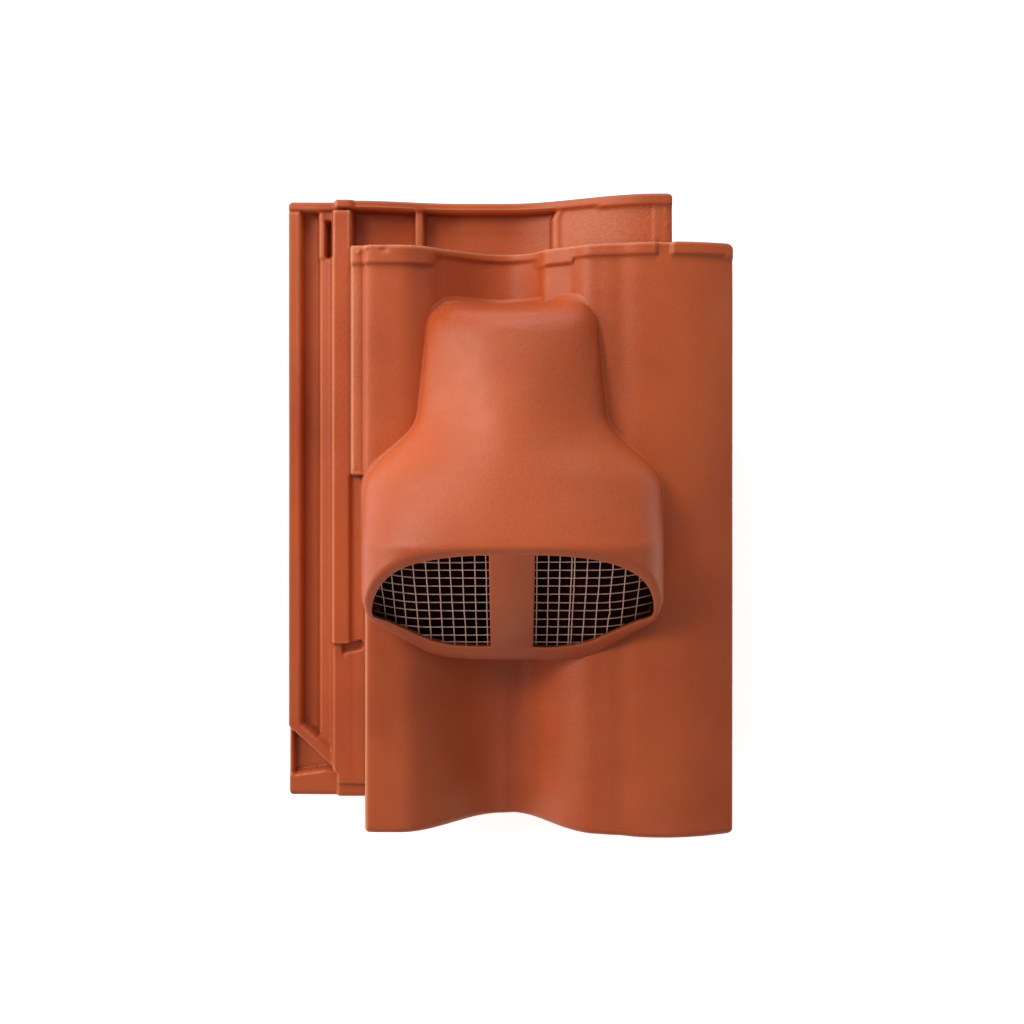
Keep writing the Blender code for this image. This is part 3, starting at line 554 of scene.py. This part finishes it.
def hoodShell():
    h = hood
    left, right = hoodPaths(-1), hoodPaths(1)
    paths = np.array(left[::-1] + right[1:-1])  # from the head end round the left to the chin and back
    chin = len(left) - 1
    count = len(paths)
    ahead, behind = np.roll(np.arange(count), -1), np.roll(np.arange(count), 1)
    rim, foot = paths[:, -1], paths[:, 0]
    along = unit(rim[ahead] - rim[behind])
    inside = unit(np.cross(outOfMouth, along))
    middle = np.array([0, frontLength / 2, (h["top"] + h["chinTop"]) / 2])
    inside *= np.sign(((middle - rim) * inside).sum(-1))[:, None]
    plan = unit((foot[ahead] - foot[behind]) * (1, 1, 0))
    outward = np.stack([plan[:, 1], -plan[:, 0], 0 * plan[:, 0]], -1)
    outward *= np.sign((outward * (foot - (0, 110, 0))).sum(-1))[:, None]
    away = unit(paths[:, -4] - rim)
    fromChin = abs(np.arange(count) - chin)
    chinShare = ease(1 - (fromChin - 10) / 12)
    wall = h["wall"] + (h["chinWall"] - h["wall"]) * chinShare
    fromCornerX, fromCornerP = (abs(foot[:, 0]) - h["cornerX"]) / 8, (foot[:, 1] - h["cornerP"]) / 8
    wall *= 1 - h["cornerThin"] * np.exp(-(fromCornerX**2) - fromCornerP**2)
    outer = h["rimOut"] + (h["chinOut"] - h["rimOut"]) * chinShare
    pieces = np.linalg.norm(np.diff(paths, axis=1), axis=2)
    lengths = np.concatenate([np.zeros((count, 1)), np.cumsum(pieces, 1)], 1)
    total = lengths[:, -1]
    fillet = np.minimum(h["fillet"], total * 0.25)
    outer = np.minimum(outer, total * 0.3)

    def onPath(distance):
        each = zip(distance, lengths, paths)
        return np.array([[np.interp(d, s, q[:, k]) for k in range(3)] for d, s, q in each])

    def onTile(points, lift):
        z = coverAt(h["axis"] + points[:, 0]) + lift
        return np.stack([points[:, 0], points[:, 1], z], -1)

    startFillet = onTile(foot + outward * fillet[:, None], -0.12)
    outerSteps = 26
    spread = np.linspace(0, 1, outerSteps)
    surface = [onPath(fillet + (total - outer - fillet) * s) for s in spread]
    rings = [startFillet - (0, 0, 5), startFillet]
    rings += bend(startFillet, onTile(foot, 0), surface[0], 3) + surface
    marks = [0, 0.9, 0.5, 0.1, 0] + [0] * outerSteps  # how pale each ring is: partly edge wear, partly painted highlight at the hood's foot and the mouth's rim; below zero, painted shade
    faceStart = rim + inside * outer[:, None]
    rings += bend(surface[-1], rim, faceStart, 3) + [faceStart]
    marks += [0.35, 0.5, 0.3, 0.1]
    cross = np.linalg.norm(np.cross(away, inside), axis=-1)
    reach = wall / np.clip(cross, 0.6, 1)
    innerCorner = rim + inside * reach[:, None]
    faceEnd = rim + inside * (reach - h["rimIn"])[:, None]
    innerTop = innerCorner + away * h["rimIn"]
    rings += [(faceStart + faceEnd) / 2, faceEnd] + bend(faceEnd, innerCorner, innerTop, 1) + [innerTop]
    # A pale line along the inner edge of the rim: painted highlight.
    marks += [0, 0.5, 1.0, 0.2]
    innerSteps = 10
    for s in np.linspace(0, 1, innerSteps + 1)[1:]:
        at = total * (1 - s)
        here, before = onPath(at), onPath(np.minimum(at + 2, total))
        forward = unit(here[ahead] - here[behind])
        normal = unit(np.cross(before - here + away * 1e-6, forward))
        centre = np.stack([0 * total, here[:, 1], coverAt(h["axis"]) + 0 * total], -1)
        centre[:, 1] = np.clip(centre[:, 1], 30, 215)
        normal *= np.sign((normal * (centre - here)).sum(-1))[:, None]
        rings.append(underRoof(here + normal * wall[:, None]))
        marks.append(-0.4)
    last = onTile(rings[-1], -4)
    rings.append(last)
    marks.append(-0.4)
    points = np.stack(rings, 1)
    world = worldFrom(points[..., 0] + h["axis"], points[..., 1] + h["chinY"], points[..., 2]).reshape(-1, 3)
    wide = points.shape[1]
    faces = []
    for i in range(count):
        for j in range(wide):
            k, m = ahead[i], (j + 1) % wide
            faces.append([i * wide + j, k * wide + j, k * wide + m, i * wide + m])
    # The inner rings of the hood are painted near black from here: painted shade inside the hood.
    innerShade = np.zeros(wide)
    innerShade[-innerSteps:] = 1
    innerShade[-innerSteps - 1] = 0.4
    return meshFrom("hood", world, faces), np.tile(marks, count), innerShade


def mouthPoint(x, up, out):
    origin = np.array([x + hood["axis"], hood["chinY"], hood["chinTop"]])
    y, z = upSlope[1] * up + outOfMouth[1] * out, upSlope[2] * up + outOfMouth[2] * out
    return origin + (0, y, z)


def bevelledBlock(name, corners, width):
    faces = [[3, 2, 1, 0], [4, 5, 6, 7], [0, 1, 5, 4], [1, 2, 6, 5], [2, 3, 7, 6], [3, 0, 4, 7]]
    mesh = meshFrom(name, corners, faces)
    data = bmesh.new()
    data.from_mesh(mesh)
    bmesh.ops.bevel(data, geom=data.edges[:], offset=width * mm, segments=3, profile=0.5, affect="EDGES")
    data.to_mesh(mesh)
    data.free()
    return mesh


def pierBlock():
    top = (hood["top"] - hood["chinTop"]) / math.sin(hood["angle"]) - hood["pierGap"]
    half, foot, depth = hood["pier"], hood["pierFoot"], hood["pierDepth"]
    plan = [(-half, foot), (half, foot), (half, top), (-half, top)]
    corners = [mouthPoint(x, up, out) for out in (-depth, -0.02) for x, up in plan]
    corners = np.array(corners)
    return bevelledBlock("pier", worldFrom(corners[:, 0], corners[:, 1], corners[:, 2]), 1.0)


feet = {"width": 26, "spacing": 54, "taper": 3, "rounding": 1.5,
        "nibY": 392, "nibLength": 15, "nibTop": -15, "lugY": 18, "lugLength": 12, "lugTop": -6}


def footBlocks():
    blocks = []
    for kind in ("nib", "lug"):
        y, length = feet[kind + "Y"], feet[kind + "Length"]
        for side in (-1, 1):
            x = tile["panX"] + side * feet["spacing"] / 2
            corners = []
            for z, taper in ((-tile["underPan"], feet["taper"]), (feet[kind + "Top"], 0)):
                half = (feet["width"] - taper) / 2
                corners += [(x - half, y, z), (x + half, y, z), (x + half, y + length - taper, z),
                            (x - half, y + length - taper, z)]
            corners = np.array(corners, float)
            points = worldFrom(corners[:, 0], corners[:, 1], corners[:, 2])
            blocks.append(bevelledBlock("foot", points, feet["rounding"]))
    return blocks


def cutDuct(mesh):
    plan = np.linspace(hood["ductFrom"], hood["ductTo"], 24)
    half = np.interp(plan, hoodPlaces, halfLine) - hood["wall"] - hood["ductInset"]
    outline = [(hood["axis"] + w, hood["chinY"] + p) for w, p in zip(half, plan)]
    outline += [(hood["axis"] - w, hood["chinY"] + p) for w, p in zip(half[::-1], plan[::-1])]
    points = np.array([(x, y, z) for z in (-60, 60) for x, y in outline])
    n = len(outline)
    faces = [list(range(n)), list(range(2 * n - 1, n - 1, -1))]
    faces += [[k, (k + 1) % n, n + (k + 1) % n, n + k] for k in range(n)]
    cutter = shown("ductCutter", meshFrom("ductCutter", worldFrom(*points.T), faces))
    body = shown("bodyToCut", mesh)
    boolean = body.modifiers.new("duct", "BOOLEAN")
    boolean.operation, boolean.solver, boolean.object = "DIFFERENCE", "EXACT", cutter
    graph = bpy.context.evaluated_depsgraph_get()
    cut = bpy.data.meshes.new_from_object(body.evaluated_get(graph))
    for helper in (body, cutter):
        bpy.data.objects.remove(helper, do_unlink=True)
    return cut


rasterStep = 0.5
rasterX = np.arange(0, tile["width"] + 0.25, rasterStep)
rasterY = np.arange(0, tile["length"] + 0.25, rasterStep)
topRaster, reliefRaster = tileTop(False)
headRaster, headRelief = tileTop(True)
print("height map made")


def ventTile():
    parts = [cutDuct(tileBody()), *footBlocks(), pierBlock()]
    hoodMesh, hoodMarks, innerShade = hoodShell()
    joined = bmesh.new()
    for part in [*parts, hoodMesh]:
        joined.from_mesh(part)
    mesh = bpy.data.meshes.new("ventTile")
    joined.to_mesh(mesh)
    joined.free()
    places = np.empty(len(mesh.vertices) * 3)
    mesh.vertices.foreach_get("co", places)
    places = places.reshape(-1, 3) / mm + (tile["width"] / 2, tile["length"] / 2, -tile["underPan"])
    # Relief of the top: raised places get paler (partly edge wear, partly painted highlight), hollows darker
    # (painted shade).
    onTop = abs(places[:, 2] - sampleTop(places[:, 0], places[:, 1])) < 1
    relief = np.where(onTop, sampleTop(places[:, 0], places[:, 1], True), 0)
    hoodStart = len(mesh.vertices) - len(hoodMarks)
    relief[hoodStart:] = hoodMarks
    mesh.attributes.new("relief", "FLOAT", "POINT").data.foreach_set("value", relief)
    x, y = places[:, 0], places[:, 1]
    sand = 0.28 * np.exp(-(((x - 51) / 5) ** 4)) * between(y, (240, 377))  # along the crest
    sand = np.maximum(sand, 0.6 * between(x, (190, 257)) * between(y, (391, 417)))  # in the head lock
    sand[hoodStart:] = 0
    mesh.attributes.new("sand", "FLOAT", "POINT").data.foreach_set("value", sand.astype(float))
    # Marks the pan under the hood for the near-black painted shade inside the hood.
    p, across = y - hood["chinY"], abs(x - hood["axis"])
    half = np.interp(p, [4, 8, 12, 30, 42, 115], [32, 48, 56, 87, 93, 94])
    half = np.where(p > 80, np.interp(p, hoodPlaces, halfLine) - 3, half)
    covered = between(p, (4, 236)) & (across < half) & (places[:, 2] > -tile["underPan"] + 2)
    inside = np.where(covered & (places[:, 2] < coverAt(x) + 1.5), 1.0, 0.0)
    inside[hoodStart:] = np.tile(innerShade, len(hoodMarks) // len(innerShade))
    mesh.attributes.new("inside", "FLOAT", "POINT").data.foreach_set("value", inside)
    mesh.shade_smooth()
    mesh.set_sharp_from_angle(angle=math.radians(48))
    return shown("ventTile", mesh)


ventTileObject = ventTile()
print("tile built:", len(ventTileObject.data.vertices), "points")

wire = {
    "radius": 0.36, "sides": 8, "behind": 3.9, "lift": 0.38, "wander": 0.16, "kinkX": 61.8, "kink": 0.9,
    "left": [-81.9, -74.9, -68.2, -60.6, -52.8, -45.0, -37.8, -30.3, -22.9, -15.9],
    "hidden": [-8.3, -0.6, 7.2],
    "right": [15.5, 22.6, 29.6, 36.7, 38.6, 46.2, 54.0, 61.8, 70.5, 79.8],
    "uprightSteps": 34, "rowSteps": 70,
    "rows": [13.3, 20.5, 28.4, 36.1, 44.2, 51.8, 59.6, 67.2, 74.5, 81.5, 88.6, 94.9],
}


def roomInside(x, up):  # where a wire still runs inside the hood or just into its wall
    p = upSlope[1] * up + math.sin(hood["angle"]) * (wire["behind"] + sag(x))
    z = hood["chinTop"] + upSlope[2] * up - math.cos(hood["angle"]) * (wire["behind"] + sag(x))
    front = np.interp(abs(x), [0, 40, 47, 88, 92], [10.6, 10.0, 9.5, 26.8, 33])
    base = coverAt(hood["axis"] + x)
    inner = hood["half"] - hood["wall"] + 1.6
    full = hood["frontFull"]
    arch = (1 - np.clip(abs(x) / inner, 0, 1) ** full) ** (1 / full)
    roof = base + (hood["top"] - hood["wall"] - 0.6 - base) * arch
    return (p > front) & (z < roof) & (abs(x) < inner) & (z > base + 0.6)


def tube(line, radius, sides):
    along = unit(np.gradient(line, axis=0))
    first = unit(np.cross(along, outOfMouth))
    second = np.cross(along, first)
    turns = np.linspace(0, 2 * math.pi, sides, endpoint=False)
    cosines, sines = np.cos(turns)[None, :, None], np.sin(turns)[None, :, None]
    rings = line[:, None] + radius * (cosines * first[:, None] + sines * second[:, None])
    count = len(line)
    faces = [
        [i * sides + k, i * sides + (k + 1) % sides, (i + 1) * sides + (k + 1) % sides, (i + 1) * sides + k]
        for i in range(count - 1)
        for k in range(sides)
    ]
    faces += [list(range(sides))[::-1], list(range((count - 1) * sides, count * sides))]
    return rings.reshape(-1, 3), faces


def sag(x):
    return 5.0 * np.clip((abs(x) - 52) / 32, 0, 1.2) ** 2


def wireMesh():
    points, faces = [], []

    def add(line, radius):
        start = sum(len(p) for p in points)
        more, ring = tube(line, radius, wire["sides"])
        points.append(more)
        faces.extend([[start + v for v in face] for face in ring])

    def lineOf(x, up, lift):
        out = -wire["behind"] + lift - sag(x)
        y = hood["chinY"] + upSlope[1] * up + outOfMouth[1] * out
        z = hood["chinTop"] + upSlope[2] * up + outOfMouth[2] * out
        return np.stack([x + hood["axis"], y, z], -1)

    for x in wire["left"] + wire["hidden"] + wire["right"]:
        up = np.linspace(0, 112, 449)
        kept = up[roomInside(x + 0 * up, up)]
        if len(kept) < 8:
            continue
        up = np.linspace(kept[0], kept[-1], wire["uprightSteps"])
        drift = wire["wander"] * np.cumsum(rng.normal(size=up.shape)) * 0.3
        kink = wire["kink"] * np.exp(-(((up - 44) / 7) ** 2)) if abs(x - wire["kinkX"]) < 1 else 0
        add(lineOf(x + drift - drift.mean() + kink, up, wire["lift"]), wire["radius"])
    for up in wire["rows"]:
        x = np.linspace(-92, 92, 737)
        kept = x[roomInside(x, up + 0 * x)]
        x = np.linspace(kept[0], kept[-1], wire["rowSteps"])
        drift = wire["wander"] * np.cumsum(rng.normal(size=x.shape)) * 0.25
        add(lineOf(x, up + drift - drift.mean(), -wire["lift"]), wire["radius"])
    flat = np.concatenate(points)
    mesh = meshFrom("wireMesh", worldFrom(flat[:, 0], flat[:, 1], flat[:, 2]), faces)
    mesh.shade_smooth()
    mesh.set_sharp_from_angle(angle=math.radians(60))
    return shown("wireMesh", mesh)


wireMeshObject = wireMesh()
print("wire mesh built")


def linear(code):
    values = [int(code[k : k + 2], 16) / 255 for k in (1, 3, 5)]
    return (*[v / 12.92 if v <= 0.04045 else ((v + 0.055) / 1.055) ** 2.4 for v in values], 1)


def addNode(tree, kind, settings, links=None):
    node = tree.nodes.new("ShaderNode" + kind)
    for name, value in settings.items():
        if isinstance(name, str) and hasattr(node, name):
            setattr(node, name, value)
        else:
            node.inputs[name].default_value = value
    for name, source in (links or {}).items():
        tree.links.new(source, node.inputs[name])
    return node


def perMetre(sizeMm):
    return 1000 / sizeMm


def firedClay():
    # The pore colour also paints shade into hollows; the inside colour paints the shade inside the hood; the
    # edge colour is partly a painted highlight.
    clay = {
        "body": "#BB5629", "deep": "#AC4A23", "bloom": "#A85F40", "edge": "#D08058", "poreAndShade": "#4A190A",
        "inside": "#2A0705", "cloud": 85, "mottle": 11, "leather": 2.2, "grain": 0.8, "rough": 0.45,
    }
    material = bpy.data.materials.new("pressedFiredClay")  # terracotta skin with a leathery, sandy grain
    material.use_nodes = True
    tree = material.node_tree
    shader = tree.nodes["Principled BSDF"]
    spot = addNode(tree, "TexCoord", {}).outputs["Object"]
    cloud = addNode(tree, "TexNoise", {"Scale": perMetre(clay["cloud"]), "Detail": 3.0}, {"Vector": spot})
    mottle = addNode(tree, "TexNoise", {"Scale": perMetre(clay["mottle"]), "Detail": 5.0, "Roughness": 0.6},
                     {"Vector": spot})
    leather = addNode(tree, "TexNoise", {"Scale": perMetre(clay["leather"]), "Detail": 2.0, "Roughness": 0.5},
                      {"Vector": spot})
    grain = addNode(tree, "TexNoise", {"Scale": perMetre(clay["grain"]), "Detail": 1.0}, {"Vector": spot})
    relief = addNode(tree, "Attribute", {"attribute_name": "relief"}).outputs["Fac"]
    sand = addNode(tree, "Attribute", {"attribute_name": "sand"}).outputs["Fac"]
    cloudShare = addNode(tree, "MapRange", {"From Min": 0.35, "From Max": 0.65},
                         {"Value": cloud.outputs["Fac"]})
    base = addNode(tree, "MixRGB", {"Color1": linear(clay["body"]), "Color2": linear(clay["deep"])},
                   {"Fac": cloudShare.outputs["Result"]})
    bloomShare = addNode(tree, "MapRange", {"From Min": 0.5, "From Max": 0.75, "To Max": 0.2},
                         {"Value": mottle.outputs["Fac"]})
    bloomed = addNode(tree, "MixRGB", {"Color2": linear(clay["bloom"])},
                      {"Fac": bloomShare.outputs["Result"], "Color1": base.outputs["Color"]})
    poreShare = addNode(tree, "MapRange", {"From Min": 0.34, "From Max": 0.26, "To Max": 0.32},
                        {"Value": grain.outputs["Fac"]})
    pored = addNode(tree, "MixRGB", {"Color2": linear(clay["poreAndShade"])},
                    {"Fac": poreShare.outputs["Result"], "Color1": bloomed.outputs["Color"]})
    sandSpeck = addNode(tree, "MapRange", {"From Min": 0.42, "From Max": 0.62, "To Max": 0.5},
                        {"Value": grain.outputs["Fac"]})
    sandShare = addNode(tree, "Math", {"operation": "MULTIPLY"}, {0: sandSpeck.outputs["Result"], 1: sand})
    sandy = addNode(tree, "MixRGB", {"Color2": linear(clay["edge"])},
                    {"Fac": sandShare.outputs[0], "Color1": pored.outputs["Color"]})
    # Raised places and rims paler: partly edge wear, partly painted highlight.
    edgeShare = addNode(tree, "MapRange", {"From Min": 0.25, "From Max": 1.6, "To Max": 0.62},
                        {"Value": relief})
    edged = addNode(tree, "MixRGB", {"Color2": linear(clay["edge"])},
                    {"Fac": edgeShare.outputs["Result"], "Color1": sandy.outputs["Color"]})
    # Hollows and the hood's inner rings are darkened towards the pore colour: painted shade.
    lowShare = addNode(tree, "MapRange", {"From Min": -0.3, "From Max": -2.5, "To Max": 0.5},
                       {"Value": relief})
    paintedRecessShade = addNode(tree, "MixRGB", {"Color2": linear(clay["poreAndShade"])},
                    {"Fac": lowShare.outputs["Result"], "Color1": edged.outputs["Color"]})
    # The inside of the hood and the pan under it are painted near black with almost no sheen: painted shade
    # of the hollow.
    inside = addNode(tree, "Attribute", {"attribute_name": "inside"}).outputs["Fac"]
    paintedInnerShade = addNode(tree, "MixRGB", {"Color2": linear(clay["inside"])},
                    {"Fac": inside, "Color1": paintedRecessShade.outputs["Color"]})
    sheen = addNode(tree, "MapRange", {"To Min": 0.42, "To Max": 0.03}, {"Value": inside})
    roughness = addNode(tree, "MapRange", {"From Min": 0.3, "From Max": 0.7, "To Min": clay["rough"] - 0.03,
                                           "To Max": clay["rough"] + 0.05}, {"Value": mottle.outputs["Fac"]})
    grainBump = addNode(tree, "Bump", {"Strength": 0.55, "Distance": 0.00016},
                        {"Height": grain.outputs["Fac"]})
    leatherBump = addNode(tree, "Bump", {"Strength": 0.5, "Distance": 0.0003},
                          {"Height": leather.outputs["Fac"], "Normal": grainBump.outputs["Normal"]})
    finish = {
        "Base Color": paintedInnerShade.outputs["Color"], "Roughness": roughness.outputs["Result"],
        "Specular IOR Level": sheen.outputs["Result"], "Normal": leatherBump.outputs["Normal"],
    }
    for name, source in finish.items():
        tree.links.new(source, shader.inputs[name])
    shader.inputs["IOR"].default_value = 1.5
    return material


def drawnWire():
    material = bpy.data.materials.new("drawnGalvanisedWire")  # dull drawn wire, warmed by clay dust
    material.use_nodes = True
    tree = material.node_tree
    shader = tree.nodes["Principled BSDF"]
    spot = addNode(tree, "TexCoord", {}).outputs["Object"]
    dust = addNode(tree, "TexNoise", {"Scale": perMetre(3), "Detail": 3.0}, {"Vector": spot})
    tone = addNode(tree, "MixRGB", {"Color1": linear("#EBCBBB"), "Color2": linear("#BE8C76")},
                   {"Fac": dust.outputs["Fac"]})
    tree.links.new(tone.outputs["Color"], shader.inputs["Base Color"])
    shader.inputs["Metallic"].default_value = 0.3
    shader.inputs["Roughness"].default_value = 0.45
    return material


for obj, node, slotName, material in (
    (ventTileObject, "vent_tile", "fired_clay", firedClay()),
    (wireMeshObject, "wire_mesh", "steel_wire", drawnWire()),
):
    obj.data.materials.clear()
    obj.data.materials.append(material)
    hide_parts(node)
    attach(obj, "root")
print("materials and nodes set")


def areaLight(name, place, size, power, tint, target=(0, 0, 0.04)):
    light = bpy.data.lights.new(name, "AREA")
    light.shape, light.size, light.size_y, light.energy = "RECTANGLE", size[0], size[1], power
    light.color = linear(tint)[:3]
    obj = bpy.data.objects.new(name, light)
    obj.location = place
    obj.rotation_euler = (Vector(target) - Vector(place)).to_track_quat("-Z", "Y").to_euler()
    bpy.context.scene.collection.objects.link(obj)
    return obj


backdrop = {"size": 24, "below": 0.0002, "paper": "#F4F4F4", "glow": 0.68, "fill": 0.22, "seen": 0.9}


def studio():
    scene = bpy.context.scene
    floorZ = cadBounds[0][2] - backdrop["below"]
    bpy.ops.mesh.primitive_plane_add(size=backdrop["size"], location=(0, 0, floorZ))
    floor = bpy.context.object
    floor.name = "studioFloor"
    paper = bpy.data.materials.new("whitePaperSweep")  # plain matt white, bright enough to wash out
    paper.use_nodes = True
    paperShader = paper.node_tree.nodes["Principled BSDF"]
    paperShader.inputs["Base Color"].default_value = linear(backdrop["paper"])
    paperShader.inputs["Roughness"].default_value = 0.9
    paperShader.inputs["Emission Color"].default_value = (1, 1, 1, 1)
    paperShader.inputs["Emission Strength"].default_value = backdrop["glow"]
    floor.data.materials.append(paper)
    world = bpy.data.worlds.new("studioWorld")
    scene.world = world
    world.use_nodes = True
    sky = world.node_tree.nodes["Background"]
    sky.inputs["Color"].default_value = linear("#FFFFFF")
    seen = addNode(world.node_tree, "LightPath", {}).outputs["Is Camera Ray"]
    shine = {"To Min": backdrop["fill"], "To Max": backdrop["seen"]}
    strength = addNode(world.node_tree, "MapRange", shine, {"Value": seen})
    world.node_tree.links.new(strength.outputs["Result"], sky.inputs["Strength"])
    areaLight("headLeft", (-0.84, 0.70, 0.92), (0.6, 0.45), 9.6, "#FFF8EC")
    areaLight("lowLeft", (-1.27, 0.12, 0.56), (0.9, 0.42), 7.8, "#FFF6E8")
    areaLight("lowHead", (0.05, 1.25, 0.60), (0.9, 0.5), 7.6, "#FFFCF8")
    areaLight("tailOver", (0.0, -0.95, 1.10), (0.9, 0.5), 1.8, "#FFFFFF")
    areaLight("rightOver", (0.95, 0.10, 1.05), (0.6, 0.8), 0.6, "#EAF4FF")
    areaLight("lowRight", (1.25, 0.0, 0.60), (0.7, 0.6), 0.3, "#FFFFFF")
    camera = bpy.data.cameras.new("photoCamera")
    camera.sensor_width, camera.lens, camera.shift_y, camera.clip_start = 36, 38.74, -0.0703, 0.01
    cameraObject = bpy.data.objects.new("photoCamera", camera)
    cameraObject.location = (0.0045, 0.0479, 0.794)
    scene.collection.objects.link(cameraObject)
    scene.camera = cameraObject
    scene.view_settings.view_transform = "Standard"


studio()
print("studio set")
